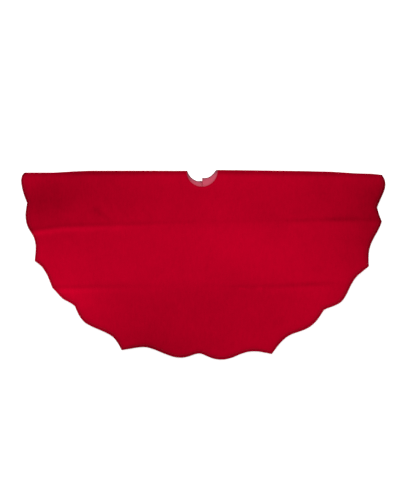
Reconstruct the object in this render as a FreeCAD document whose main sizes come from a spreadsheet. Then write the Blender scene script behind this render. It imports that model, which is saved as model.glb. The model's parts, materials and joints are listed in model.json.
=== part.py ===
import FreeCAD, Part
import os
import Sketcher
from math import cos, hypot, radians, sin, tan

# A round velvet tree skirt, folded in half. The origin is the middle of the trunk opening on the floor,
# +X runs along the fold, the half disc lies on the -Y side, and +Z is up. Millimetres.
# The front half lies on top, velvet up. The back half lies under it, velvet down, and is cut along X = 0
# by the slit, so it is a left flap and a right flap, each joined to the front along its part of the fold.

doc = FreeCAD.newDocument("tree_skirt")

sizes = {
    "velvet": 1.6,  # thickness of the pile cloth
    "lining": 0.5,
    "facing": 0.3,
    "ribbon": 0.4,
    "tack": 0.3,
    "label": 0.3,
    "layer_gap": 1.4,  # air between the linings of the two halves
    "neck_radius": 49,
    "facing_width": 22,
    "neck_facing_width": 30,
    "facing_gap": 0.5,  # between the slit's facing and the neck's
    "slit_facing_end": 568,  # how far from the origin the slit's facings reach
    "left_neck_up": 15.5,  # how far above the fold the flaps' neck arcs are centred
    "right_neck_up": 25,
    "left_droop": 0.45,  # degrees that each end of the fold droops
    "right_droop": 0.75,
    "left_end": 566,  # where the hem meets the fold
    "right_end": 572,
    "slit_gap": 1.6,
    "roll_width": 5.5,  # the turned edge
    "flap_inset": 2,  # the flaps are this much smaller, so that nothing shows past the front half
    "bend_turn": 135,  # degrees of the fold's bend that the front half carries
    "ribbon_long": 210,
    "ribbon_wide": 16,
    "ribbon_slant": 5,  # degrees that each tie leans down from the slit
    "ribbon_from_slit": 3,
    "upper_tie_down": 130,  # the ties' distances down the slit from the origin
    "middle_tie_down": 325,
    "lower_tie_down": 520,
    "tack_long": 3,
    "tack_wide": 13,
    "tack_from_slit": 9,
    "label_long": 46,
    "label_wide": 28,
    "label_from_slit": 26,
    "label_down": 230,
}
sheet = doc.addObject("Spreadsheet::Sheet", "sizes")
for row, (alias, value) in enumerate(sizes.items(), start=1):
    sheet.set(f"A{row}", alias)
    sheet.set(f"B{row}", str(value))
    sheet.setAlias(f"B{row}", alias)
doc.recompute()

cloth = sheet.velvet + sheet.lining  # one half of the skirt
front_under = cloth + sheet.layer_gap  # height of the front half's lining
height = front_under + cloth
past_cloth = 700  # a distance beyond the hem on every side
tie_places = ("upper", "middle", "lower")

# The hem of the half disc from the right end of the fold round to the left end, a run per smooth stretch.
# Each scallop goes from a cusp in to a low, out to a lobe, in to the dip in its middle, and back to a cusp.
hem = [
    [(sheet.right_end, -sheet.right_end * tan(radians(sheet.right_droop))), (577, -16), (581, -31),
     (580, -47), (570, -77), (555, -114)],
    [(555, -114), (560, -133), (570, -158)],
    [(570, -158), (558, -187), (543, -214), (532, -240), (528, -269), (529, -301)],
    [(529, -301), (513, -314), (489, -335), (471, -363), (453, -399), (440, -415), (415, -428), (387, -439)],
    [(387, -439), (377, -454), (357, -480), (337, -496), (303, -510), (274, -522), (250, -542), (221, -580)],
    [(221, -580), (189, -573), (161, -571), (121, -580), (86, -594), (60, -597), (29, -592), (-9, -578),
     (-43, -587), (-75, -591), (-105, -584), (-144, -568), (-178, -558), (-218, -561), (-255, -567)],
    [(-255, -567), (-265, -549), (-282, -526), (-309, -510), (-348, -493), (-371, -480), (-387, -462),
     (-403, -428)],
    [(-403, -428), (-420, -416), (-443, -403), (-461, -384), (-475, -370)],
    [(-475, -370), (-483, -349), (-495, -322), (-509, -302), (-531, -285)],
    [(-531, -285), (-529, -263), (-528, -237), (-535, -207), (-551, -180), (-560, -147), (-559, -123),
     (-555, -100)],
    [(-555, -100), (-564, -76), (-572, -47), (-574, -27), (-572, -14),
     (-sheet.left_end, -sheet.left_end * tan(radians(sheet.left_droop)))],
]


def hem_runs(inset):
    """The hem's runs, moved towards the trunk opening by inset."""
    runs = []
    for run in hem:
        shares = [1 - inset / hypot(x, y) for x, y in run]
        runs.append([FreeCAD.Vector(x * k, y * k, 0) for (x, y), k in zip(run, shares)])
    return runs


def new_body(label, z):
    body = doc.addObject("PartDesign::Body", "body_" + label)
    body.Label = label
    body.Placement = FreeCAD.Placement(FreeCAD.Vector(0, 0, z), FreeCAD.Rotation())
    return body


def new_sketch(body, name, role="XY_Plane"):
    sketch = body.newObject("Sketcher::SketchObject", f"{name}_{body.Label}")
    plane = [feature for feature in body.Origin.OriginFeatures if feature.Role == role][0]
    sketch.AttachmentSupport = [(plane, "")]
    sketch.MapMode = "FlatFace"
    return sketch


def add_curves(sketch, runs):
    for run in runs:
        curve = Part.BSplineCurve()
        curve.interpolate(run)
        sketch.addGeometry(curve)


def add_lines(sketch, points):
    for a, b in zip(points, points[1:]):
        sketch.addGeometry(Part.LineSegment(FreeCAD.Vector(a), FreeCAD.Vector(b)))


def add_polygon(sketch, corners):
    add_lines(sketch, [(x, y, 0) for x, y in corners + corners[:1]])


def add_neck_circle(sketch, radius, up):
    """A circle centred on the Y axis, its radius and height bound to expressions of the sheet's cells."""
    centre = FreeCAD.Vector(0, sheet.evalExpression(up), 0)
    circle = Part.Circle(centre, FreeCAD.Vector(0, 0, 1), sheet.evalExpression(radius))
    edge = sketch.addGeometry(circle)
    size = sketch.addConstraint(Sketcher.Constraint("Radius", edge, circle.Radius))
    sketch.setExpression(f"Constraints[{size}]", in_sheet(radius))
    if centre.y:
        rise = sketch.addConstraint(Sketcher.Constraint("DistanceY", -1, 1, edge, 3, centre.y))
        sketch.setExpression(f"Constraints[{rise}]", in_sheet(up))
        sketch.addConstraint(Sketcher.Constraint("PointOnObject", edge, 3, -2))
    else:
        sketch.addConstraint(Sketcher.Constraint("Coincident", edge, 3, -1, 1))


def in_sheet(expression):
    """The expression with the sheet's name before each of its cells' names."""
    words = expression.replace("(", "( ").replace(")", " )").split()
    return " ".join(f"sizes.{word}" if word in sizes else word for word in words)


def pad(body, sketch, length):
    feature = body.newObject("PartDesign::Pad", "pad_" + body.Label)
    feature.Profile = sketch
    feature.setExpression("Length", in_sheet(length))
    doc.recompute()


def pocket(body, sketch):
    """Cuts the sketch right through the body, and checks that it took something away."""
    before = body.Shape.Volume
    feature = body.newObject("PartDesign::Pocket", "cut_" + sketch.Name)
    feature.Profile = sketch
    feature.SideType = "Symmetric"
    feature.Type = "ThroughAll"
    doc.recompute()
    assert body.Shape.Volume < before - 1, sketch.Name


def cut_neck(body, up):
    sketch = new_sketch(body, "neck")
    add_neck_circle(sketch, "neck_radius", up)
    pocket(body, sketch)


def cut_slit(body, side):
    """Takes away the other flap's side of the slit. side is -1 for the left flap and 1 for the right."""
    sketch = new_sketch(body, "slit")
    edge, far = side * sheet.slit_gap / 2, -side * past_cloth
    add_polygon(sketch, [(edge, past_cloth), (edge, -past_cloth), (far, -past_cloth), (far, past_cloth)])
    pocket(body, sketch)


def cut_above_fold(body):
    sketch = new_sketch(body, "above_fold")
    left = (-past_cloth, -past_cloth * tan(radians(sheet.left_droop)))
    right = (past_cloth, -past_cloth * tan(radians(sheet.right_droop)))
    add_polygon(sketch, [left, (0, 0), right, (past_cloth, past_cloth), (-past_cloth, past_cloth)])
    pocket(body, sketch)


def plate(label, z, thickness, inset, neck_up, side=0):
    """A layer of cloth inside the turned edge: the whole front half, or one flap's side of the slit."""
    body = new_body(label, z)
    sketch = new_sketch(body, "outline")
    runs = hem_runs(inset + sheet.roll_width)
    add_curves(sketch, runs)
    add_lines(sketch, [runs[-1][-1], (0, 0, 0), runs[0][0]])
    pad(body, sketch, thickness)
    cut_neck(body, neck_up)
    if side:
        cut_slit(body, side)


def edge_roll(label, z, inset, side=0):
    """The turned edge along the hem, as thick as the velvet and lining together."""
    body = new_body(label, z)
    sketch = new_sketch(body, "rim")
    outer, inner = hem_runs(inset), hem_runs(inset + sheet.roll_width)
    add_curves(sketch, outer + inner)
    add_lines(sketch, [outer[0][0], inner[0][0]])
    add_lines(sketch, [outer[-1][-1], inner[-1][-1]])
    pad(body, sketch, "velvet + lining")
    if side:
        cut_slit(body, side)


def neck_facing(label, z, neck_up, side=0):
    """The narrow band sewn round the trunk opening on the lining side."""
    body = new_body(label, z)
    sketch = new_sketch(body, "band")
    add_neck_circle(sketch, "neck_radius", neck_up)
    add_neck_circle(sketch, "neck_radius + neck_facing_width", neck_up)
    pad(body, sketch, "facing")
    cut_above_fold(body)
    if side:
        cut_slit(body, side)


def fold_roll(name, side):
    """The bend of the cloth along one side of the fold, from the trunk opening to the hem."""
    body = new_body("fold_roll_" + name, 0)
    sketch = new_sketch(body, "bend", "YZ_Plane")
    centre = FreeCAD.Vector(0, height / 2, 0)
    low, high = radians(90 - sheet.bend_turn), radians(90)
    corners = []
    for radius in (height / 2, sheet.layer_gap / 2):
        circle = Part.Circle(centre, FreeCAD.Vector(0, 0, 1), radius)
        sketch.addGeometry(Part.ArcOfCircle(circle, low, high))
        corners.append([centre + FreeCAD.Vector(cos(a), sin(a), 0) * radius for a in (low, high)])
    add_lines(sketch, [corners[0][0], corners[1][0]])
    add_lines(sketch, [corners[0][1], corners[1][1]])
    pad(body, sketch, f"({name}_end - neck_radius) / cos({name}_droop * 1deg)")
    droop = sheet.evalExpression(name + "_droop")
    reach = sheet.left_end if side < 0 else sheet.neck_radius  # the pad starts at the roll's -X end
    start = FreeCAD.Vector(side * reach, -reach * tan(radians(droop)), 0)
    body.Placement = FreeCAD.Placement(start, FreeCAD.Rotation(FreeCAD.Vector(0, 0, 1), -side * droop))


def strip(label, x, y, z, long, wide, thick, turn=0):
    """A flat piece of tape from its sewn corner, its three sizes bound to the sheet."""
    box = doc.addObject("Part::Box", "box_" + label)
    box.Label = label
    for side, expression in (("Length", long), ("Width", wide), ("Height", thick)):
        box.setExpression(side, in_sheet(expression))
    turned = FreeCAD.Rotation(FreeCAD.Vector(0, 0, 1), turn)
    box.Placement = FreeCAD.Placement(FreeCAD.Vector(x, y, z), turned)
    return box


# The front half.
plate("front_velvet", front_under + sheet.lining, "velvet", 0, "0")
plate("front_lining", front_under, "lining", 0, "0")
edge_roll("front_edge_roll", front_under, 0)
neck_facing("front_neck_facing", front_under - sheet.facing, "0")
fold_roll("left", -1)
fold_roll("right", 1)

# The two flaps of the back half, the same but for the side of the slit and the neck.
for name, side in (("left", -1), ("right", 1)):
    neck_up = name + "_neck_up"
    plate(f"back_{name}_velvet", 0, "velvet", sheet.flap_inset, neck_up, side)
    plate(f"back_{name}_lining", sheet.velvet, "lining", sheet.flap_inset, neck_up, side)
    edge_roll(f"back_{name}_edge_roll", 0, sheet.flap_inset, side)
    neck_facing(f"back_{name}_neck_facing", cloth, neck_up, side)

    slit_edge = side * sheet.slit_gap / 2
    facing_x = slit_edge if side > 0 else slit_edge - sheet.facing_width
    strip(f"back_{name}_slit_facing", facing_x, -sheet.slit_facing_end, cloth, "facing_width",
          f"slit_facing_end + {neck_up} - neck_radius - neck_facing_width - facing_gap", "facing")

    tacks = []
    turn = -sheet.ribbon_slant if side > 0 else 180 + sheet.ribbon_slant
    lean = (sheet.tack_from_slit - sheet.ribbon_from_slit) * tan(radians(sheet.ribbon_slant))
    tack_x = side * sheet.tack_from_slit - sheet.tack_long / 2
    for where in tie_places:
        tie_y = -sheet.evalExpression(where + "_tie_down")
        strip(f"{name}_tie_{where}", side * sheet.ribbon_from_slit, tie_y - side * sheet.ribbon_wide / 2,
              cloth + sheet.facing, "ribbon_long", "ribbon_wide", "ribbon", turn)
        tacks.append(strip(f"{name}_tack_{where}", tack_x, tie_y - lean - sheet.tack_wide / 2,
                           cloth + sheet.facing + sheet.ribbon, "tack_long", "tack_wide", "tack"))
    group = doc.addObject("Part::Compound", f"{name}_tie_tacks")
    group.Label = f"{name}_tie_tacks"
    group.Links = tacks

strip("care_label", sheet.label_from_slit, -sheet.label_down, cloth, "label_long", "label_wide", "label")

doc.recompute()
os.makedirs("parts", exist_ok=True)
names = [f"{half}_{piece}" for half in ("front", "back_left", "back_right")
         for piece in ("velvet", "lining", "edge_roll", "neck_facing")]
names += ["fold_roll_left", "fold_roll_right", "care_label"]
for name in ("left", "right"):
    names += [f"back_{name}_slit_facing", f"{name}_tie_tacks"]
    names += [f"{name}_tie_{where}" for where in tie_places]
for item in doc.Objects:
    assert not {"Invalid", "Error"} & set(item.State), item.Label
for name in names:
    piece = doc.getObjectsByLabel(name)[0]
    shape = piece.Shape
    assert not shape.isNull() and shape.isValid(), name
    shape.exportStep(f"parts/{name}.step")
    print(f"{name:26s} {shape.Volume / 1000:8.2f} cm3 {len(shape.Solids)} solid(s)")
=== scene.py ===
# A red velvet tree skirt folded in half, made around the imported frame.
# Lengths are in metres, except where a note says millimetres.
import json
from math import atan2, cos, exp, hypot, pi, radians, sin, sqrt, tanh

import bmesh
import bpy
import numpy as np
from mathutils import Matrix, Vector, noise


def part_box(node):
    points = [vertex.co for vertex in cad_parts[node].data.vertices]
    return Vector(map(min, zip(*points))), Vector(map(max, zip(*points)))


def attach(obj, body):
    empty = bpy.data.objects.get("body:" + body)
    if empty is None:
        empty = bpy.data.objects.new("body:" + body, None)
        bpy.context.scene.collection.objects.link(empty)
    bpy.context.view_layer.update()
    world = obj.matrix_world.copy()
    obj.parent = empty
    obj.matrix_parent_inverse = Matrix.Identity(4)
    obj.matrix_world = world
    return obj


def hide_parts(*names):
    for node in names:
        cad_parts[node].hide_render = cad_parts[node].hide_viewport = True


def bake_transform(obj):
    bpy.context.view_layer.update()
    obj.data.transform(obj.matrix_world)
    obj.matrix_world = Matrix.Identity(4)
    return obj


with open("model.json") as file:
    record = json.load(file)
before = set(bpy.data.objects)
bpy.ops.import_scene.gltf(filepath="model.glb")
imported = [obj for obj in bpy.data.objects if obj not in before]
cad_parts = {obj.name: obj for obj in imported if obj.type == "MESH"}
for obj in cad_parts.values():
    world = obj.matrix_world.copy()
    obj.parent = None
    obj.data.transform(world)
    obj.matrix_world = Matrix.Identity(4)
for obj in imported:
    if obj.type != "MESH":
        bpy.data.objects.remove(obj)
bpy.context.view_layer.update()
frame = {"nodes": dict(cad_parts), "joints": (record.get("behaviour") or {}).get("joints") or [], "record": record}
mm = 0.001
sides = ("left", "right")
print("frame loaded")

# sizes and joints read from the frame
neckRadius = next(m for m in frame["record"]["mounts"] if m["name"] == "trunk_opening")["dims"]["r_mm"] * mm
velvetLow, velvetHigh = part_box("front_velvet")
topZ = velvetHigh.z  # pile side of the front half
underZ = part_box("front_lining")[0].z  # its lining side
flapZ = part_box("back_left_lining")[1].z  # lining side of the flaps
fill = {"velvet": 0.96, "lining": 0.9}  # how much of its CAD layer's thickness each cloth takes
velvetThick = (velvetHigh.z - velvetLow.z) * fill["velvet"]
liningThick = (velvetLow.z - underZ) * fill["lining"]
joints = {j["child"]: j for j in frame["joints"]}
foldAxis = {side: Vector(joints[f"back_{side}_flap"]["axis"]) for side in sides}
foldOut = {"left": -foldAxis["left"], "right": foldAxis["right"]}  # from the neck to each end of the fold
foldAngle = {"left": atan2(foldOut["left"].y, foldOut["left"].x) % (2 * pi) - 2 * pi,
             "right": atan2(foldOut["right"].y, foldOut["right"].x)}
slitEdge = {"left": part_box("back_left_velvet")[1].x, "right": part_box("back_right_velvet")[0].x}
zUp = np.array([0.0, 0.0, 1.0])

# turned edges: how wide they are, how they pucker, and how the slit's meet each other, the neck and the hem
edges = {"hem": 5.5 * mm, "neck": 3.5 * mm, "slit": 1.8 * mm, "flapInset": 2 * mm, "thick": topZ - underZ,
         "steps": 8, "pucker": 0.07, "puckerSize": 0.014, "slitShut": 0.12, "slitSpread": 30,
         "slitColumns": 90, "intoNeck": 0.9, "intoHem": 0.8, "turn": 0.05 * mm}
facing = {"wide": 22 * mm, "neckWide": 30 * mm, "thick": 0.3 * mm, "fill": 0.8, "setBack": 2 * mm,
          "slitClear": 1.0 * mm, "foldStop": 1.5 * mm, "rows": 10, "columns": 120, "seamIn": 2 * mm,
          "ripple": 0.08 * mm, "ripplesPerMetre": 90}
sheetRows = {"front": 96, "flap": 84, "bend": 13}  # an odd bend has no row at the hinge's own height


# making meshes
def link(name, data):
    piece = bpy.data.objects.new(name, data)
    bpy.context.scene.collection.objects.link(piece)
    return piece


def newMesh(name, points, faces):
    mesh = bpy.data.meshes.new(name)
    mesh.from_pydata([tuple(p) for p in points], [], [tuple(f) for f in faces])
    mesh.update()
    mesh.polygons.foreach_set("use_smooth", [True] * len(mesh.polygons))
    return link(name, mesh)


def gridFaces(columns, rows, closed=False):
    faces = []
    for i in range(columns - 1):
        for j in range(rows if closed else rows - 1):
            k = (j + 1) % rows
            faces.append((i * rows + j, (i + 1) * rows + j, (i + 1) * rows + k, i * rows + k))
    return faces


def faceTowards(piece, up):
    total = sum(p.normal.z * p.area for p in piece.data.polygons)
    if total * up < 0:
        piece.data.flip_normals()


def clothSheet(name, grid, thickness, up):
    # one layer of cloth: a grid of points on its outer side, thickened to the other side
    columns, rows = grid.shape[:2]
    piece = newMesh(name, grid.reshape(-1, 3), gridFaces(columns, rows))
    faceTowards(piece, up)
    stack = piece.modifiers.new("clothThickness", "SOLIDIFY")
    stack.thickness, stack.offset, stack.use_even_offset = thickness, -1, True
    return piece


def applyStack(piece):
    bpy.context.view_layer.update()
    done = bpy.data.meshes.new_from_object(piece.evaluated_get(bpy.context.evaluated_depsgraph_get()))
    piece.modifiers.clear()
    piece.data = done


def fixNormals(piece):
    shell = bmesh.new()
    shell.from_mesh(piece.data)
    bmesh.ops.recalc_face_normals(shell, faces=shell.faces)
    shell.to_mesh(piece.data)
    shell.free()


def betweenLines(inner, outer, rows):
    share = np.linspace(0, 1, rows)[None, :, None]
    return inner[:, None, :] * (1 - share) + outer[:, None, :] * share


# the hem's outline, read from the CAD edge; a turn of the edge sharper than "turn" gets a column of its own
hemColumns = {"count": 380, "fine": 3600, "span": 9, "turn": 1.1 * mm, "smooth": 3, "inside": 1e-4,
              "parallel": 1e-9}


def edgeReach(node, angles):
    # distance from the origin to the outer edge of a node along each angle
    mesh = frame["nodes"][node].data
    co = np.array([v.co for v in mesh.vertices], float)[:, :2]
    ends = np.array([e.vertices for e in mesh.edges], int)
    a, b = co[ends[:, 0]], co[ends[:, 1]]
    reach = []
    for angle in angles:
        along, across = np.array([cos(angle), sin(angle)]), np.array([-sin(angle), cos(angle)])
        sa, sb = a @ across, b @ across
        hit = (sa * sb <= 0) & (abs(sa - sb) > hemColumns["parallel"])
        share = sa[hit] / (sa[hit] - sb[hit])
        reach.append(((a[hit] + share[:, None] * (b[hit] - a[hit])) @ along).max())
    return np.array(reach)


def hemAngles():
    # even columns, with the nearest one moved onto each cusp and sharp dip
    first, last = foldAngle["right"] - hemColumns["inside"], foldAngle["left"] + hemColumns["inside"]
    fine = np.linspace(first, last, hemColumns["fine"])
    reach = edgeReach("front_edge_roll", fine)
    span = hemColumns["span"]
    bend = np.zeros(len(fine))
    bend[span:-span] = abs(reach[2 * span:] - 2 * reach[span:-span] + reach[:-2 * span])
    angles = np.linspace(first, last, hemColumns["count"])
    for i in range(span, len(fine) - span):
        if bend[i] > hemColumns["turn"] and bend[i] == bend[i - span:i + span + 1].max():
            angles[abs(angles - fine[i]).argmin()] = fine[i]
    return angles


angles = hemAngles()
hemReach = edgeReach("front_edge_roll", angles)
rays = np.array([(cos(a), sin(a), 0.0) for a in angles])
print("hem read:", len(angles), "columns")


def hemPath(inset):
    # points of the hem and their outward directions, from the fold's right end to its left end
    points = rays * (hemReach - inset)[:, None]
    along = np.gradient(points, axis=0)
    out = np.stack([-along[:, 1], along[:, 0], 0 * along[:, 0]], axis=1)
    out /= np.linalg.norm(out, axis=1)[:, None]
    smooth = out.copy()
    for step in range(1, hemColumns["smooth"] + 1):
        smooth[step:] += out[:-step]
        smooth[:-step] += out[step:]
    smooth /= np.linalg.norm(smooth, axis=1)[:, None]
    if (smooth * points).sum() < 0:
        smooth = -smooth
    smooth[0], smooth[-1] = foldOut["right"], foldOut["left"]
    return points, smooth


# how the cloth lies
# packing creases, from left to right: the line, how deep its valley is in millimetres, how much painted shade
# darkens the pile above it and painted highlight brightens it below it, where its slopes turn from the light and
# towards it, its width in millimetres, and how much brighter the pile is above it than below it, partly the
# panels' own pile and partly painted light and shade from their tilt
creases = [
    {"x": [-0.60, -0.53, -0.44, -0.17, 0.00, 0.25, 0.30, 0.37, 0.42, 0.47, 0.52, 0.60],
     "y": [-0.197, -0.188, -0.176, -0.169, -0.165, -0.162, -0.161, -0.159, -0.158, -0.157, -0.157, -0.157],
     "depth": [2.4, 2.4, 2.2, 1.4, 0.7, 0.7, 1.5, 1.2, 1.6, 1.4, 0.9, 0.7],
     "dark": [0.07, 0.09, 0.08, 0.06, 0.03, 0.02, 0.09, 0.06, 0.16, 0.14, 0.06, 0.03],
     "bright": [0.17, 0.20, 0.16, 0.00, -0.03, -0.03, 0.01, 0.00, -0.01, -0.01, 0.01, 0.03],
     "width": 13, "step": -0.028},
    {"x": [-0.52, -0.47, -0.38, -0.20, -0.05, 0.05, 0.12, 0.25, 0.34, 0.42, 0.50],
     "y": [-0.371, -0.371, -0.370, -0.368, -0.367, -0.367, -0.370, -0.367, -0.363, -0.361, -0.358],
     "depth": [2.2, 2.2, 1.6, 0.7, 0.4, 0.6, 1.1, 1.5, 1.8, 0.8, 0.2],
     "dark": [0.09, 0.11, 0.09, 0.03, 0.00, 0.03, 0.07, 0.10, 0.16, 0.04, 0.00],
     "bright": [0.14, 0.16, 0.08, 0.01, 0.00, 0.00, 0.02, 0.03, 0.05, 0.00, 0.00],
     "width": 10, "step": 0.022},
]
# small soft dents and short bright marks: both ends, depth and width in millimetres, and how much painted shade
# darkens the pile in a dent, which is less than nothing where a mark is made brighter
wrinkles = [
    {"from": (-0.338, -0.125), "to": (-0.286, -0.160), "depth": 0.7, "width": 12, "dark": 0.13},
    {"from": (0.480, -0.140), "to": (0.360, -0.152), "depth": 0.4, "width": 12, "dark": 0.05},
    {"from": (0.118, -0.3722), "to": (0.146, -0.3727), "depth": 0.0, "width": 2.6, "dark": -0.16},
    {"from": (0.189, -0.3717), "to": (0.160, -0.3720), "depth": 0.0, "width": 2.6, "dark": -0.16},
]
dentTaper = {"width": 0.55, "depth": 0.75}  # how much of each a wrinkle loses towards its second end

# heights, reaches and fades in millimetres, sizes of waves in metres, and where the neck's fade starts as a
# share of its radius
lie = {"lift": 2.6, "foldFade": 16, "hemFade": 14, "waves": 1.2, "waveSize": 0.16, "ripple": 0.35,
       "rippleSize": 0.045, "sag": 1.1, "sagSize": 0.09, "sagReach": 26, "sagFrom": 0.3, "sagFoldFade": 32,
       "flat": 0.25}
flapLie = {"crease": 0.18, "waves": 0.16, "waveSize": 0.12, "most": 0.5, "fade": 24, "neck": 0.8}
noiseLayer = {"waves": 3.7, "ripple": 8.1, "sag": 5.2, "flapWaves": 9.3, "frontPile": 0.4, "flapPile": 1.3}

# how far the fold bows out, and how far that reaches into the cloth, in millimetres
foldBow = {"x": [-0.575, -0.47, -0.41, -0.36, -0.31, -0.20, -0.06, 0.06, 0.16, 0.32, 0.41, 0.49, 0.54, 0.575],
           "out": [-2.0, -2.8, 0.6, 2.4, 2.0, 1.2, -0.4, 2.8, 3.0, 2.9, 1.8, -2.4, -3.2, -7.0], "reach": 60}


def bowed(points):
    # the same points with the fold's gentle waver added, which dies away into the cloth
    out = np.array(points, float)
    for p in out.reshape(-1, 3):
        waver = np.interp(p[0], foldBow["x"], foldBow["out"]) * mm
        p[1] += waver * exp(-foldDistance(p[0], p[1]) / (foldBow["reach"] * mm))
    return out


def fadeIn(distance, width):
    return 1 - exp(-max(distance, 0) / (width * mm))


def foldDistance(x, y):
    out = foldOut["right" if x > 0 else "left"]
    return abs(x * out.y - y * out.x)


def hemDistance(x, y):
    angle = atan2(y, x)
    return np.interp(-(angle - 2 * pi if angle > 0 else angle), -angles, hemReach) - hypot(x, y)


def aboveCrease(x, y, crease):
    # how far a point is above a crease's line, in millimetres
    return (y - np.interp(x, crease["x"], crease["y"])) / mm


def valley(x, y, crease):
    # how deep a crease is at a point, in millimetres
    return np.interp(x, crease["x"], crease["depth"]) * exp(-abs(aboveCrease(x, y, crease)) / crease["width"])


def dent(x, y, wrinkle):
    # 1 in the middle of a wrinkle's first end, less along it and beside it
    a, b, p = Vector(wrinkle["from"]), Vector(wrinkle["to"]), Vector((x, y))
    share = max(0, min(1, (p - a).dot(b - a) / (b - a).length_squared))
    width = wrinkle["width"] * mm * (1 - dentTaper["width"] * share)
    return (1 - dentTaper["depth"] * share) * exp(-((p - a.lerp(b, share)).length / width) ** 2)


def uneven(x, y, size, layer):
    # smooth noise with patches of a size, from -1 to 1
    return noise.noise(Vector((x / size, y / size, noiseLayer[layer])))


def relief(x, y):
    # height of the front half above its flat lie
    height = lie["lift"]
    for crease in creases:
        height -= valley(x, y, crease)
    for w in wrinkles:
        height -= w["depth"] * dent(x, y, w)
    height += lie["waves"] * uneven(x, y, lie["waveSize"], "waves")
    height += lie["ripple"] * uneven(x, y, lie["rippleSize"], "ripple")
    fromFold, fromHem = foldDistance(x, y), hemDistance(x, y)
    atHem = lie["flat"] + (1 - lie["flat"]) * fadeIn(fromHem, lie["hemFade"])
    height *= fadeIn(fromFold, lie["foldFade"]) * atHem
    sag = max(0, lie["sagFrom"] + uneven(x, y, lie["sagSize"], "sag"))
    sag *= lie["sag"] * exp(-max(fromHem, 0) / (lie["sagReach"] * mm)) * fadeIn(fromFold, lie["sagFoldFade"])
    return (max(height, 0) - min(sag, lie["sag"])) * mm


def flapRelief(x, y):
    # height of a flap above its flat lie, where the packing creases lift it
    height = flapLie["waves"] * (1 + uneven(x, y, flapLie["waveSize"], "flapWaves"))
    for crease in creases:
        height += flapLie["crease"] * valley(x, y, crease)
    fromNeck = hypot(x, y) - flapLie["neck"] * neckRadius
    for distance in (foldDistance(x, y), hemDistance(x, y), abs(x), fromNeck):
        height *= fadeIn(distance - edges["hem"], flapLie["fade"])
    return min(height, flapLie["most"]) * mm


def laid(points, z, rise):
    # the same points at a height, on the lie of the half that they belong to
    out = np.array(points, float)
    for p in out.reshape(-1, 3):
        p[2] = z + rise(p[0], p[1])
    return bowed(out)


# how bright the pile's colour is, from 0 to 1: its own lie with painted shade and painted highlight mixed in,
# darker towards the hem, the fold, on the turned edges and across creases; reaches and places across a crease in
# millimetres
napAndShade = {"plain": 0.62, "cloud": 0.05, "flapCloud": 0.10, "cloudSize": 0.13, "hemShade": 0.14, "hemReach": 8.0,
       "foldShade": 0.32, "foldReach": 9.5, "edgeShade": 0.13, "neckShade": 0.06, "flapNeckShade": 0.05}
creaseLightAndShade = {"brightAt": -10, "brightReach": 8, "darkAt": 5, "darkReach": 7, "stepReach": 8,
             "flapBright": 0.05, "flapDark": 0.06}
# painted light and shade in broad patches from the cloth's tilt to the light, with the pile's own lie; a negative
# strength darkens
litAndBrushedPatches = [  # patches: centre, reach along x and y, strength
    (-0.50, -0.09, 0.10, 0.08, -0.24),
    (-0.34, -0.05, 0.16, 0.10, -0.13),
    (0.57, -0.10, 0.09, 0.10, -0.24),
    (0.42, -0.06, 0.16, 0.08, -0.09),
    (0.02, -0.12, 0.13, 0.05, 0.03),
    (0.24, -0.03, 0.12, 0.05, 0.05),
    (-0.42, -0.14, 0.05, 0.02, 0.06),
    (0.17, -0.25, 0.20, 0.07, 0.09),
    (0.53, -0.23, 0.13, 0.10, -0.19),
    (0.40, -0.28, 0.07, 0.05, 0.03),
    (-0.45, -0.31, 0.10, 0.06, 0.05),
    (-0.44, -0.40, 0.13, 0.06, 0.21),
    (-0.25, -0.28, 0.22, 0.06, 0.03),
    (-0.06, -0.44, 0.20, 0.09, -0.05),
    (-0.13, -0.56, 0.15, 0.06, -0.18),
    (0.05, -0.48, 0.13, 0.07, 0.03),
    (-0.33, -0.50, 0.06, 0.05, 0.02),
    (0.17, -0.33, 0.06, 0.04, 0.04),
    (0.36, -0.43, 0.10, 0.08, 0.10),
]


def rimShade(x, y):
    # painted shade: the pile's colour is darkened towards the hem and the fold, where the cloth turns down away
    # from the light
    fromHem, fromFold = max(hemDistance(x, y) - edges["hem"], 0) / mm, foldDistance(x, y) / mm
    shade = napAndShade["hemShade"] * exp(-(fromHem / napAndShade["hemReach"]) ** 2)
    return shade + napAndShade["foldShade"] * exp(-(fromFold / napAndShade["foldReach"]) ** 2)


def creaseHighlightAndShade(above, bright, dark):
    # painted highlight and painted shade across a crease: the pile's colour is brightened below it and darkened
    # above it
    low = (above - creaseLightAndShade["brightAt"]) / creaseLightAndShade["brightReach"]
    high = (above - creaseLightAndShade["darkAt"]) / creaseLightAndShade["darkReach"]
    return bright * exp(-low ** 2) - dark * exp(-high ** 2)


def frontNapAndShade(x, y):
    level = napAndShade["plain"]
    level += napAndShade["cloud"] * noise.noise(Vector((x, y, noiseLayer["frontPile"])) / napAndShade["cloudSize"])
    for cx, cy, rx, ry, strength in litAndBrushedPatches:
        level += strength * exp(-((x - cx) / rx) ** 2 - ((y - cy) / ry) ** 2)
    for crease in creases:
        above = aboveCrease(x, y, crease)
        level += creaseHighlightAndShade(above, *(np.interp(x, crease["x"], crease[part]) for part in ("bright", "dark")))
        level += crease["step"] * tanh(above / creaseLightAndShade["stepReach"])
    # painted shade in the dents, and the short bright marks
    for w in wrinkles:
        level -= w["dark"] * dent(x, y, w)
    return level - rimShade(x, y)


def flapNapAndShade(x, y):
    level = napAndShade["plain"]
    level += napAndShade["flapCloud"] * noise.noise(Vector((x, y, noiseLayer["flapPile"])) / napAndShade["cloudSize"])
    for crease in creases:
        above = aboveCrease(x, y, crease)
        level += creaseHighlightAndShade(above, creaseLightAndShade["flapBright"], creaseLightAndShade["flapDark"])
        level -= crease["step"] * tanh(above / creaseLightAndShade["stepReach"])
    return level - rimShade(x, y)


def setNapAndShade(piece, napAndShadeAt, name="napAndShade"):
    values = [napAndShadeAt(v.co.x, v.co.y) for v in piece.data.vertices]
    piece.data.attributes.new(name, "FLOAT", "POINT").data.foreach_set("value", values)


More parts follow.
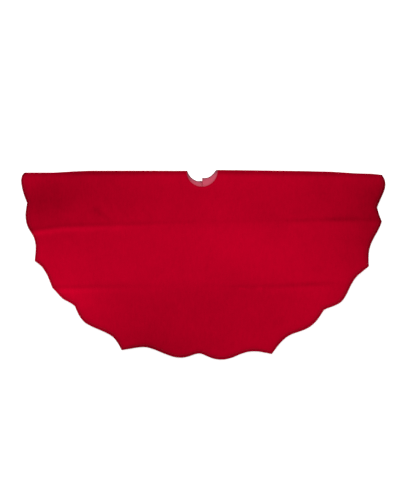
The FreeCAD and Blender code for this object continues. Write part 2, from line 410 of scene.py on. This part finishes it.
# turned edges: velvet folded over to the lining side
def edgeBand(name, points, outs, ups, width, napAndShadeAt):
    # points lie on the pile side at the band's inner line, outs point to the band's rim, and ups away from
    # the lining
    rings, rows = [], edges["steps"] + 1
    for p, out, up in zip(points, outs, ups):
        swell = 1 + edges["pucker"] * noise.noise(Vector(p) / edges["puckerSize"])
        for k in range(rows):
            turn = pi * k / edges["steps"]
            rings.append(p + out * width * sin(turn) * swell + up * edges["thick"] * 0.5 * (cos(turn) - 1))
    faces = gridFaces(len(points), rows, closed=True)
    faces += [tuple(range(rows)), tuple(reversed(range(len(rings) - rows, len(rings))))]
    piece = newMesh(name, rings, faces)
    fixNormals(piece)
    setNapAndShade(piece, napAndShadeAt)
    return piece


# painted shade: the turned hem and slit edges are darker than the pile beside them, as they turn away from the
# light
def hemEdgeNapAndShade(napAndShadeAt):
    return lambda x, y: napAndShadeAt(x, y) - napAndShade["edgeShade"]


# stitches and threads: a stitch's ends are deep in the cloth and its middle lies on it
stitch = {"long": 3.6 * mm, "gap": 1.3 * mm, "thick": 0.45 * mm, "fine": 0.8, "sink": 0.22 * mm, "deep": 2,
          "shallow": 0.4, "end": 0.15, "fromHem": 9 * mm, "skip": 3}


def threadRuns(name, runs, thick, smooth=False):
    # one curve of round thread with a run for each list of points
    curve = bpy.data.curves.new(name, "CURVE")
    curve.dimensions = "3D"
    curve.bevel_depth, curve.bevel_resolution, curve.use_fill_caps = thick / 2, 1, True
    curve.resolution_u = curve.render_resolution_u = 3
    for run in runs:
        spline = curve.splines.new("NURBS" if smooth else "POLY")
        spline.points.add(len(run) - 1)
        for point, place in zip(spline.points, run):
            point.co = (*place, 1)
        if smooth:
            spline.order_u, spline.use_endpoint_u = 3, True
    drawn = link(name, curve)
    piece = link(name, bpy.data.meshes.new_from_object(drawn))
    bpy.data.objects.remove(drawn)
    piece.name = name
    return piece


def stitchRuns(line, up):
    # short stitches along a line on the cloth, each end sunk into it; up is 1 or -1
    line = np.array(line)
    lengths = np.concatenate([[0], np.cumsum(np.linalg.norm(np.diff(line, axis=0), axis=1))])

    def at(distance, sink):
        place = [np.interp(distance, lengths, line[:, k]) for k in range(3)]
        place[2] -= up * sink
        return place

    runs, start, long = [], stitch["gap"], stitch["long"]
    deep, shallow = stitch["deep"] * stitch["sink"], stitch["shallow"] * stitch["sink"]
    while start + long < lengths[-1]:
        runs.append([at(start, deep), at(start + stitch["end"] * long, shallow),
                     at(start + (1 - stitch["end"]) * long, shallow), at(start + long, deep)])
        start += long + stitch["gap"]
    return runs


# the front half
hemOuter, hemOut = hemPath(0)
hemInner = hemOuter - hemOut * edges["hem"]
neckInner = rays * (neckRadius + edges["neck"])
frontGrid = laid(betweenLines(neckInner, hemInner, sheetRows["front"]), 0, relief)
ups = np.repeat(zUp[None], len(angles), axis=0)

frontVelvet = clothSheet("frontVelvet", frontGrid + zUp * topZ, velvetThick, 1)
setNapAndShade(frontVelvet, frontNapAndShade)
frontLining = clothSheet("frontLining", frontGrid + zUp * underZ, liningThick, -1)
frontHemEdge = edgeBand("frontHemEdge", laid(hemInner, topZ, relief), hemOut, ups, edges["hem"],
                        hemEdgeNapAndShade(frontNapAndShade))
# painted shade: the turned neck edge is a little darker than the plain pile
frontNeckEdge = edgeBand("frontNeckEdge", laid(neckInner, topZ, relief), -rays, ups, edges["neck"],
                         lambda x, y: napAndShade["plain"] - napAndShade["neckShade"])
frontStitchLine = laid(hemPath(stitch["fromHem"])[0], topZ, relief)
frontHemStitches = threadRuns("frontHemStitches", stitchRuns(frontStitchLine, 1), stitch["thick"])
for piece in (frontVelvet, frontLining, frontHemEdge, frontNeckEdge, frontHemStitches):
    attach(piece, "front_half")
print("front half made")


# the two flaps of the back half, and how far each one's corner at the slit stands into the opening
slitCorner = {"left": 2.6 * mm, "right": 2.8 * mm, "reach": 12 * mm}


def flapNeckReach(side, angle):
    # from the origin to the flap's neck arc, which is centred above the fold
    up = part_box(f"back_{side}_neck_facing")[0].y + neckRadius + facing["neckWide"]
    reach = up * sin(angle) + sqrt(neckRadius ** 2 - (up * cos(angle)) ** 2)
    return reach - slitCorner[side] * exp(-(reach * cos(angle) / slitCorner["reach"]) ** 2)


def sideColumns(side):
    # the hem columns of one flap, from its fold to the slit
    straightDown = abs(angles + pi / 2).argmin()
    if side == "right":
        return list(range(0, straightDown + 1))
    return list(range(len(angles) - 1, straightDown - 1, -1))


def besideSlit(points, side, clear):
    # moves the columns next to the slit sideways, so that the last one runs clear of it
    sign = 1 if side == "right" else -1
    out = points.copy()
    for p in out.reshape(-1, 3):
        lean = abs(atan2(p[1], p[0]) + pi / 2) / radians(edges["slitSpread"])
        p[0] += max(0, 1 - lean) * (slitEdge[side] * edges["slitShut"] + sign * clear)
    return out


def bendLine(side, startReach, endReach, radius):
    # one line of the bend at the fold, from the front half's level down to the flap's
    out, axis = np.array(foldOut[side]), foldAxis[side]
    across = np.array([-axis.y, axis.x, 0.0])
    points, normals = [], []
    for k in range(sheetRows["bend"]):
        share = k / sheetRows["bend"]
        normal = across * cos(pi * (0.5 - share)) + zUp * sin(pi * (0.5 - share))
        normals.append(normal)
        points.append(out * (startReach + (endReach - startReach) * share) + normal * radius + zUp * topZ / 2)
    return points, normals


def makeFlap(side):
    body, name, columns = f"back_{side}_flap", f"back{side.capitalize()}", sideColumns(side)
    outer, out = (line[columns] for line in hemPath(edges["flapInset"]))
    flapRays = rays[columns]
    reach = np.array([flapNeckReach(side, angles[i]) for i in columns])
    neckLine = besideSlit(flapRays * (reach + edges["neck"])[:, None], side, edges["slit"])
    hemLine = besideSlit(outer - out * edges["hem"], side, edges["slit"])
    grid = betweenLines(neckLine, hemLine, sheetRows["flap"])
    tops = np.linspace(neckRadius + edges["neck"], np.linalg.norm(hemInner[columns[0]]), sheetRows["flap"])
    lows = np.linalg.norm(grid[0, :, :2], axis=1)

    def layer(kind, z, bendRadius, thickness, up):
        bend = bowed([bendLine(side, a, b, bendRadius)[0] for a, b in zip(tops, lows)])
        whole = np.concatenate([bend.transpose(1, 0, 2), laid(grid, z, flapRelief)])
        piece = clothSheet(name + kind, whole, thickness, up)
        applyStack(piece)
        return piece

    def turnedEdge(kind, line, outs, startReach, outSign, width, napAndShadeAt):
        points, normals = bendLine(side, startReach, np.linalg.norm(line[0]), topZ / 2)
        bendOut = [np.array(foldOut[side]) * outSign] * len(points)
        path = list(bowed(points)) + list(laid(line, 0, flapRelief))
        return edgeBand(name + kind, path, bendOut + list(outs), normals + [-zUp] * len(line), width, napAndShadeAt)

    flap = {"body": body, "neckLine": neckLine, "hemLine": hemLine, "reach": reach, "rays": flapRays}
    flap["velvet"] = layer("Velvet", 0, topZ / 2, velvetThick, -1)
    setNapAndShade(flap["velvet"], flapNapAndShade)
    flap["lining"] = layer("Lining", flapZ, (underZ - flapZ) / 2, liningThick, 1)
    flap["hemEdge"] = turnedEdge("HemEdge", hemLine, out, tops[-1], 1, edges["hem"], hemEdgeNapAndShade(flapNapAndShade))
    # painted shadow: the flaps' turned neck edges are made very dark
    flap["neckEdge"] = turnedEdge("NeckEdge", neckLine, -flapRays, tops[0], -1, edges["neck"],
                                  lambda x, y: napAndShade["flapNeckShade"])

    slitTop = neckLine[-1] - flapRays[-1] * edges["neck"] * edges["intoNeck"]
    slitEnd = hemLine[-1] + out[-1] * edges["hem"] * edges["intoHem"]
    count = edges["slitColumns"]
    slitLine = np.linspace(slitTop, slitEnd, count)
    toSlit = np.array([-1.0 if side == "right" else 1.0, 0, 0])
    flap["slitEdge"] = edgeBand(name + "SlitEdge", laid(slitLine, 0, flapRelief), [toSlit] * count,
                                [-zUp] * count, edges["slit"], hemEdgeNapAndShade(flapNapAndShade))

    hemStitchLine = hemPath(edges["flapInset"] + stitch["fromHem"])[0][columns]
    slitStitchLine = slitLine[stitch["skip"]:-stitch["skip"]] - toSlit * (stitch["fromHem"] - edges["slit"])
    runs = []
    for line in (besideSlit(hemStitchLine, side, stitch["fromHem"]), slitStitchLine):
        runs += stitchRuns(laid(line, 0, flapRelief), -1)
    flap["stitches"] = threadRuns(name + "HemStitches", runs, stitch["thick"])

    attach(flap["slitEdge"], body)
    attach(flap["stitches"], body)
    # the flap's velvet, lining and turned edges, bend and all, get their transforms baked in and are attached to
    # no body
    for part in ("velvet", "hemEdge", "neckEdge", "lining"):
        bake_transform(flap[part])
    return flap


flaps = {side: makeFlap(side) for side in sides}
print("flaps made")


# facings on the lining side
def bandSheet(name, inner, outer, z, up, body, rise):
    grid = laid(betweenLines(inner, outer, facing["rows"]), z, rise)
    grid[:, :, 1] = np.minimum(grid[:, :, 1], facing["foldStop"])  # they don't meet when the fold opens
    for p in grid.reshape(-1, 3):
        p[2] += facing["ripple"] * noise.noise(Vector(p) * facing["ripplesPerMetre"])
    piece = clothSheet(name, grid, facing["thick"] * facing["fill"], up)
    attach(piece, body)
    return piece


def edgeStitches(name, line, z, up, body, rise):
    piece = threadRuns(name, stitchRuns(laid(line, z, rise), up), stitch["thick"] * stitch["fine"])
    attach(piece, body)
    return piece


# painted shade on the neck facings: how strong it is and how far it reaches, at the opening, the fold and the slit
facingShade = {"edge": 0.55, "edgeReach": 6 * mm, "left": 1.0, "right": 0.7,
         "foldReach": {"left": 19 * mm, "right": 7 * mm}, "corner": 0.5, "cornerReach": 6 * mm}


def facingShadeLevel(side, flap):
    # how much painted shade darkens a neck facing: along the trunk opening, towards the fold and at the slit's
    # corner
    def level(x, y):
        angle = atan2(y, x)
        fromNeck = hypot(x, y) - flapNeckReach(side, angle - 2 * pi if angle > 0 else angle)
        amount = facingShade["edge"] * exp(-(fromNeck / facingShade["edgeReach"]) ** 2)
        amount += facingShade[side] * exp(-(foldDistance(x, y) / facingShade["foldReach"][side]) ** 2)
        corner = flap["neckLine"][-1]
        amount += facingShade["corner"] * exp(-(hypot(x - corner[0], y - corner[1]) / facingShade["cornerReach"]) ** 2)
        return min(amount, 1)
    return level


def faceFlap(side, flap):
    # a flap's two facings and their stitches
    body, name, z = flap["body"], f"back{side.capitalize()}", flapZ + facing["thick"]
    fromNeck = (facing["setBack"], facing["neckWide"], facing["neckWide"] - facing["seamIn"])
    inner, outer, seam = (besideSlit(flap["rays"] * (flap["reach"] + d)[:, None], side, facing["slitClear"])
                          for d in fromNeck)
    flap["neckFacing"] = bandSheet(name + "NeckFacing", inner, outer, z, 1, body, flapRelief)
    setNapAndShade(flap["neckFacing"], facingShadeLevel(side, flap), "facingShade")
    flap["neckFacingStitches"] = edgeStitches(name + "NeckFacingStitches", seam, z, 1, body, flapRelief)

    low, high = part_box(f"back_{side}_slit_facing")
    sign = 1 if side == "right" else -1
    near, far = sorted((low.x, high.x), key=abs)
    down = np.linspace(high.y, low.y, facing["columns"])
    inner, outer, seam = (np.array([(x, y, 0) for y in down])
                          for x in (near + sign * facing["slitClear"], far, far - sign * facing["seamIn"]))
    flap["slitFacing"] = bandSheet(name + "SlitFacing", inner, outer, high.z, 1, body, flapRelief)
    flap["slitFacingStitches"] = edgeStitches(name + "SlitFacingStitches", seam, high.z, 1, body, flapRelief)


neckFacingInner, neckFacingOuter = neckRadius + facing["setBack"], neckRadius + facing["neckWide"]
frontFacing = bandSheet("frontNeckFacing", rays * neckFacingInner, rays * neckFacingOuter,
                        underZ - facing["thick"], -1, "front_half", relief)
frontFacingStitches = edgeStitches("frontNeckFacingStitches", rays * (neckFacingOuter - facing["seamIn"]),
                                   underZ - facing["thick"], -1, "front_half", relief)
for side, flap in flaps.items():
    faceFlap(side, flap)
print("facings made")


# ties, tacks and label; values named Along, Across, Up and Down are radians
tie = {"wide": 16 * mm, "thick": 0.28 * mm, "columns": 60, "rows": 7, "end": 3 * mm, "notch": 6 * mm,
       "notchFrom": 0.9, "sway": 2.2 * mm, "swayAlong": 7, "phaseUp": 900, "phaseDown": 40, "cup": 0.12 * mm,
       "ripple": 0.07 * mm, "rippleAlong": 23, "rippleAcross": 2}
tack = {"bars": 3, "strokes": 17, "thick": 0.42 * mm, "sunk": 0.3, "proud": 0.15}
label = {"thick": 0.24 * mm, "columns": 26, "rows": 14, "curl": 0.5 * mm, "tilt": 0.3, "wave": 0.06 * mm,
         "waveAlong": 9, "waveAcross": 4, "sewn": 3 * mm, "seamPoints": 20, "seamProud": 0.05 * mm}


def nodePoints(node):
    return np.array([v.co for v in frame["nodes"][node].data.vertices], float)


def tieSheet(side, where):
    node = f"{side}_tie_{where}"
    co, z, sign = nodePoints(node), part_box(node)[1].z, 1 if side == "right" else -1
    outward = co[:, 0] * sign
    root = co[outward < outward.min() + tie["end"]][:, :2].mean(axis=0)
    end = co[outward > outward.max() - tie["end"]][:, :2].mean(axis=0)
    long = np.linalg.norm(end - root)
    along = (end - root) / long
    across = np.array([-along[1], along[0]])
    phase = z * tie["phaseUp"] + root[1] * tie["phaseDown"]  # so that each tie sways in its own way
    grid = np.zeros((tie["columns"], tie["rows"], 3))
    for i, t in enumerate(np.linspace(0, 1, tie["columns"])):
        tail = max(0, t - tie["notchFrom"]) / (1 - tie["notchFrom"])
        for j, s in enumerate(np.linspace(-0.5, 0.5, tie["rows"])):
            notch = tie["notch"] * (abs(s) * 2 - 1) * tail  # a swallowtail end
            sway = tie["sway"] * sin(t * tie["swayAlong"] + phase) * t
            x, y = root + along * (long * t + notch) + across * (s * tie["wide"] + sway)
            ripple = tie["ripple"] * sin(t * tie["rippleAlong"] + s * tie["rippleAcross"])
            grid[i, j] = (x, y, z + flapRelief(x, y) + tie["cup"] * (4 * s * s - 1) + ripple)
    piece = clothSheet(f"{side}Tie{where.capitalize()}", grid, tie["thick"], 1)
    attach(piece, f"back_{side}_flap")
    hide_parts(node)
    return piece


def tackThreads(side):
    # a bar of zigzag thread through the root of each tie
    co, runs = nodePoints(f"{side}_tie_tacks"), []
    nearX, farX, sunk = co[:, 0].min(), co[:, 0].max(), tack["thick"] * tack["sunk"]
    for bar in np.array_split(np.sort(co[:, 1]), tack["bars"]):
        run = []
        for k in range(tack["strokes"]):
            y = bar.min() + (bar.max() - bar.min()) * k / (tack["strokes"] - 1)
            z = co[:, 2].max() - sunk + flapRelief(nearX, y)
            run.append((nearX if k % 2 else farX, y, z - sunk))
            run.append(((nearX + farX) / 2, y, z + tack["thick"] * tack["proud"]))
        runs.append(run)
    piece = threadRuns(f"{side}TieTacks", runs, tack["thick"], smooth=True)
    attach(piece, f"back_{side}_flap")
    return piece


def careLabel():
    low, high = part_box("care_label")
    grid = np.zeros((label["columns"], label["rows"], 3))
    for i, t in enumerate(np.linspace(0, 1, label["columns"])):
        for j, s in enumerate(np.linspace(0, 1, label["rows"])):
            x, y = low.x + (high.x - low.x) * t, low.y + (high.y - low.y) * s
            curl = label["curl"] * t ** 3 * (1 - label["tilt"] + label["tilt"] * cos(s * pi))
            wave = label["wave"] * sin(t * label["waveAlong"] + s * label["waveAcross"])
            grid[i, j] = (x, y, high.z + curl + wave + flapRelief(x, y))
    piece = clothSheet("careLabel", grid, label["thick"], 1)
    line = [(low.x + label["sewn"], y, 0) for y in np.linspace(low.y, high.y, label["seamPoints"])]
    sewn = edgeStitches("careLabelStitches", line, high.z + label["seamProud"], 1, "back_right_flap",
                        flapRelief)
    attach(piece, "back_right_flap")
    return piece, sewn


ties = [tieSheet(side, where) for side in sides for where in ("upper", "middle", "lower")]
tacks = {side: tackThreads(side) for side in sides}
careTape, careStitches = careLabel()
print("ties, tacks and label made")


# what each sheet was cut to
halfDisc = {"wide": velvetHigh.x - velvetLow.x + 2 * edges["hem"], "long": -velvetLow.y + edges["hem"]}


def cutArea(inner, outer):
    # flat area between two lines of columns
    total = 0
    for a, b, c, d in zip(inner[:-1], outer[:-1], outer[1:], inner[1:]):
        total += abs((c[0] - a[0]) * (d[1] - b[1]) - (c[1] - a[1]) * (d[0] - b[0])) / 2
    return total


frontArea = cutArea(neckInner, hemInner)
2 * neckFacingOuter
cutArea(rays * neckFacingInner, rays * neckFacingOuter)
for side, flap in flaps.items():
    area = cutArea(flap["neckLine"], flap["hemLine"])
    flat = (halfDisc["wide"] / 2, halfDisc["long"])
    inner, outer = (flap["rays"] * (flap["reach"] + facing[d])[:, None] for d in ("setBack", "neckWide"))
    cutArea(inner, outer)


# finishes
class Wire:
    # a socket that makes Math nodes when it is added, multiplied and so on
    def __init__(self, tree, socket):
        self.tree, self.socket = tree, socket

    def math(self, operation, *values):
        node = self.tree.nodes.new("ShaderNodeMath")
        node.operation = operation
        for i, value in enumerate((self, *values)):
            plug(self.tree, node.inputs[i], value)
        return Wire(self.tree, node.outputs[0])

    def __add__(self, other):
        return self.math("ADD", other)

    def __mul__(self, other):
        return self.math("MULTIPLY", other)

    def __sub__(self, other):
        return self.math("SUBTRACT", other)

    def __rsub__(self, other):
        return (self * -1) + other

    __radd__, __rmul__ = __add__, __mul__


def plug(tree, socket, value):
    if isinstance(value, Wire):
        tree.links.new(value.socket, socket)
    else:
        socket.default_value = value


waveLength = 0.314  # metres between the bands of a wave texture whose scale is 1


class Finish:
    # one material: a Principled shader and what feeds it
    def __init__(self, name, **shader):
        self.material = bpy.data.materials.new(name)
        self.material.use_nodes = True
        self.tree = self.material.node_tree
        self.tree.nodes.clear()
        self.place = self.node("ShaderNodeTexCoord", out="Object")
        self.surface = self.tree.nodes.new("ShaderNodeBsdfPrincipled")
        output = self.tree.nodes.new("ShaderNodeOutputMaterial")
        self.tree.links.new(self.surface.outputs[0], output.inputs[0])
        self.set(**shader)

    def node(self, kind, settings=None, inputs=None, out=0):
        made = self.tree.nodes.new(kind)
        for name, value in (settings or {}).items():
            setattr(made, name, value)
        for name, value in (inputs or {}).items():
            plug(self.tree, made.inputs[name], value)
        return Wire(self.tree, made.outputs[out])

    def set(self, **shader):
        for name, value in shader.items():
            plug(self.tree, self.surface.inputs[name.replace("_", " ")], value)

    def stretched(self, scale, turn=0.0):
        return self.node("ShaderNodeMapping", inputs={"Vector": self.place, "Scale": scale,
                                                      "Rotation": (0, 0, radians(turn))})

    def cloud(self, size, detail=2.0, vector=None):
        # noise whose patches are about size metres across, 0 to 1
        return self.node("ShaderNodeTexNoise", inputs={"Vector": vector or self.place, "Scale": 1 / size,
                                                       "Detail": detail})

    def threads(self, spacing, axis="X", vector=None):
        return self.node("ShaderNodeTexWave", {"wave_type": "BANDS", "bands_direction": axis},
                         {"Vector": vector or self.place, "Scale": waveLength / spacing, "Distortion": 0.6,
                          "Detail": 1.0, "Detail Scale": 2.0}, out=1)

    def mix(self, factor, a, b):
        return self.node("ShaderNodeMix", {"data_type": "RGBA"}, {0: factor, 6: a, 7: b}, out=2)

    def bump(self, height, distance, strength=1.0, normal=None):
        inputs = {"Height": height, "Distance": distance, "Strength": strength}
        if normal:
            inputs["Normal"] = normal
        return self.node("ShaderNodeBump", inputs=inputs)


pile = {"dark": (0.092, 0.0001, 0.0026, 1), "bright": (0.470, 0.0003, 0.0165, 1), "lean": 8,
        "streakShape": (1.0, 0.25, 1.0), "layShape": (1.0, 0.4, 1.0), "rough": 0.84, "roughRange": 0.10,
        "roughSize": 10 * mm, "laySize": 12 * mm, "layHigh": 1.2 * mm, "layBump": 0.35,
        "tuftSize": 0.9 * mm, "tuftHigh": 0.6 * mm, "tuftBump": 0.9}
pileShades = [  # what varies the pile's brightness: strength, size and detail
    {"of": "clouds", "strength": 0.10, "size": 50 * mm, "detail": 3.0},
    {"of": "mottle", "strength": 0.07, "size": 14 * mm, "detail": 3.0},
    {"of": "streaks", "strength": 0.16, "size": 5 * mm, "detail": 2.0},
    {"of": "tufts", "strength": 0.45, "size": 1.2 * mm, "detail": 2.0},
]


def velvetFinish():
    # short pile: bright and dark as it leans, in soft clouds, combed streaks and single tufts
    finish = Finish("redVelvet", Sheen_Weight=0.16, Sheen_Roughness=0.4, Sheen_Tint=(1.0, 0.004, 0.04, 1),
                    Specular_IOR_Level=0.0)
    streaked = finish.stretched(pile["streakShape"], pile["lean"])
    # the point attribute holds the pile's own lie with painted shade and painted highlight: darker at the hem, the
    # fold, the turned edges and above creases, brighter below them
    level = finish.node("ShaderNodeAttribute", {"attribute_name": "napAndShade"}, out=2)
    for shade in pileShades:
        place = streaked if shade["of"] == "streaks" else None
        level = level + (finish.cloud(shade["size"], shade["detail"], place) - 0.5) * shade["strength"]
    finish.set(Base_Color=finish.mix(level, pile["dark"], pile["bright"]),
               Roughness=finish.cloud(pile["roughSize"]) * pile["roughRange"] + pile["rough"])
    leaning = finish.cloud(pile["laySize"], 2.0, finish.stretched(pile["layShape"], pile["lean"]))
    lay = finish.bump(leaning, pile["layHigh"], pile["layBump"])
    tufts = finish.cloud(pile["tuftSize"], 3.0)
    finish.set(Normal=finish.bump(tufts, pile["tuftHigh"], pile["tuftBump"], lay))
    return finish.material


# woven cloths share these: how much clouds and threads change the shade, painted shade on the neck facings, and
# the bumps of the threads and of the crumpled cloth
woven = {"cloudShade": 0.5, "cloudSize": 30 * mm, "threadShade": 0.25, "weftSpacing": 1.6,
         "shadeColour": (0.10, 0.012, 0.03, 1), "shadeShare": 0.8, "roughRange": 0.12, "roughSize": 20 * mm,
         "crumpleSize": 18 * mm, "crumpleHigh": 1 * mm, "threadHigh": 0.1 * mm, "threadBump": 0.5}


def wovenFinish(name, colour, deep, spacing, turn=0, rough=0.5, crumple=0.35, sheen=(1, 0.6, 0.65, 1)):
    finish = Finish(name, Sheen_Weight=0.1, Sheen_Tint=sheen, Specular_IOR_Level=0.35)
    cloth = finish.stretched((1, 1, 1), turn)
    warp = finish.threads(spacing, "X", cloth)
    weft = finish.threads(spacing * woven["weftSpacing"], "Y", cloth)
    shade = finish.cloud(woven["cloudSize"], 3.0) * woven["cloudShade"]
    shade = shade + warp * woven["threadShade"] + weft * woven["threadShade"]
    # painted shade: darkens the neck facings near the opening, the fold and the slit's corner
    shadeMix = finish.node("ShaderNodeAttribute", {"attribute_name": "facingShade"}, out=2) * woven["shadeShare"]
    finish.set(Base_Color=finish.mix(shadeMix, finish.mix(shade, deep, colour), woven["shadeColour"]),
               Roughness=finish.cloud(woven["roughSize"]) * woven["roughRange"] + rough)
    soft = finish.bump(finish.cloud(woven["crumpleSize"], 3.0), woven["crumpleHigh"], crumple)
    finish.set(Normal=finish.bump(warp * weft, woven["threadHigh"], woven["threadBump"], soft))
    return finish.material


velvet = velvetFinish()
lining = wovenFinish("roseSatinLining", (0.52, 0.055, 0.10, 1), (0.38, 0.035, 0.065, 1),
                     spacing=0.5 * mm, rough=0.42)
tape = wovenFinish("roseBiasTape", (0.52, 0.055, 0.10, 1), (0.33, 0.028, 0.055, 1), spacing=0.6 * mm, turn=45)
ribbon = wovenFinish("redSatinRibbon", (0.46, 0.008, 0.026, 1), (0.30, 0.004, 0.015, 1),
                     spacing=0.4 * mm, rough=0.32)
thread = wovenFinish("redThread", (0.34, 0.006, 0.02, 1), (0.20, 0.003, 0.011, 1),
                     spacing=0.3 * mm, turn=30, crumple=0.0)
roseThread = wovenFinish("roseThread", (0.55, 0.08, 0.14, 1), (0.40, 0.05, 0.09, 1),
                         spacing=0.3 * mm, turn=30, crumple=0.0)
labelCloth = wovenFinish("whiteLabelTape", (0.80, 0.78, 0.75, 1), (0.66, 0.64, 0.61, 1),
                         spacing=0.4 * mm, crumple=0.2, sheen=(1, 1, 1, 1))


def dress(piece, material, slot, *nodes):
    piece.data.materials.clear()
    piece.data.materials.append(material)
    if nodes:
        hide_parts(*nodes)


dress(frontVelvet, velvet, "velvet", "front_velvet")
dress(frontHemEdge, velvet, "velvet", "front_edge_roll")
dress(frontNeckEdge, velvet, "velvet")
dress(frontHemStitches, thread, "thread")
dress(frontLining, lining, "lining_satin", "front_lining")
dress(frontFacing, tape, "facing_tape", "front_neck_facing")
dress(frontFacingStitches, roseThread, "thread")
for side, flap in flaps.items():
    dress(flap["velvet"], velvet, "velvet", f"back_{side}_velvet", f"fold_roll_{side}")
    dress(flap["hemEdge"], velvet, "velvet", f"back_{side}_edge_roll")
    dress(flap["neckEdge"], velvet, "velvet")
    dress(flap["slitEdge"], velvet, "velvet")
    dress(flap["stitches"], thread, "thread")
    dress(flap["lining"], lining, "lining_satin", f"back_{side}_lining")
    for kind in ("neck", "slit"):
        dress(flap[kind + "Facing"], tape, "facing_tape", f"back_{side}_{kind}_facing")
        dress(flap[kind + "FacingStitches"], roseThread, "thread")
    dress(tacks[side], thread, "thread", f"{side}_tie_tacks")
for piece in ties:
    dress(piece, ribbon, "ribbon")
dress(careTape, labelCloth, "label_tape", "care_label")
dress(careStitches, thread, "thread")
print("finishes made")


# the floor, the light and the camera, which looks straight down; its field is how far it sees, end to end
stage = {"floor": 4.0, "floorZ": -0.4 * mm, "floorColour": (0.95, 0.95, 0.95, 1), "floorGlow": 0.25,
         "worldLight": 1.0, "key": 60.0, "keyAt": (-0.5, 2.2, 1.9), "keySize": (2.4, 1.2),
         "aim": (0, -0.25, 0), "across": -0.0068, "down": -0.232, "field": 1.5505, "lens": 85, "sensor": 36}
reach, z = stage["floor"], stage["floorZ"]
floor = newMesh("floor", [(-reach, -reach, z), (reach, -reach, z), (reach, reach, z), (-reach, reach, z)],
                [(0, 1, 2, 3)])
floorFinish = Finish("paleFloor", Base_Color=stage["floorColour"], Roughness=0.9, Emission_Color=(1, 1, 1, 1),
                     Emission_Strength=stage["floorGlow"])
floor.data.materials.append(floorFinish.material)

world = bpy.data.worlds.new("studio")
bpy.context.scene.world = world
world.use_nodes = True
world.node_tree.nodes["Background"].inputs[0].default_value = (1, 1, 1, 1)
world.node_tree.nodes["Background"].inputs[1].default_value = stage["worldLight"]
key = link("keyLight", bpy.data.lights.new("keyLight", "AREA"))
key.data.shape = "RECTANGLE"
key.data.size, key.data.size_y = stage["keySize"]
key.data.energy = stage["key"]
key.location = stage["keyAt"]
key.rotation_euler = (Vector(stage["aim"]) - key.location).to_track_quat("-Z", "Y").to_euler()

camera = link("camera", bpy.data.cameras.new("camera"))
camera.data.lens, camera.data.sensor_width = stage["lens"], stage["sensor"]
camera.location = (stage["across"], stage["down"], topZ + stage["field"] * stage["lens"] / stage["sensor"])
bpy.context.scene.camera = camera
bpy.context.scene.view_settings.view_transform = "Standard"
print("stage made")
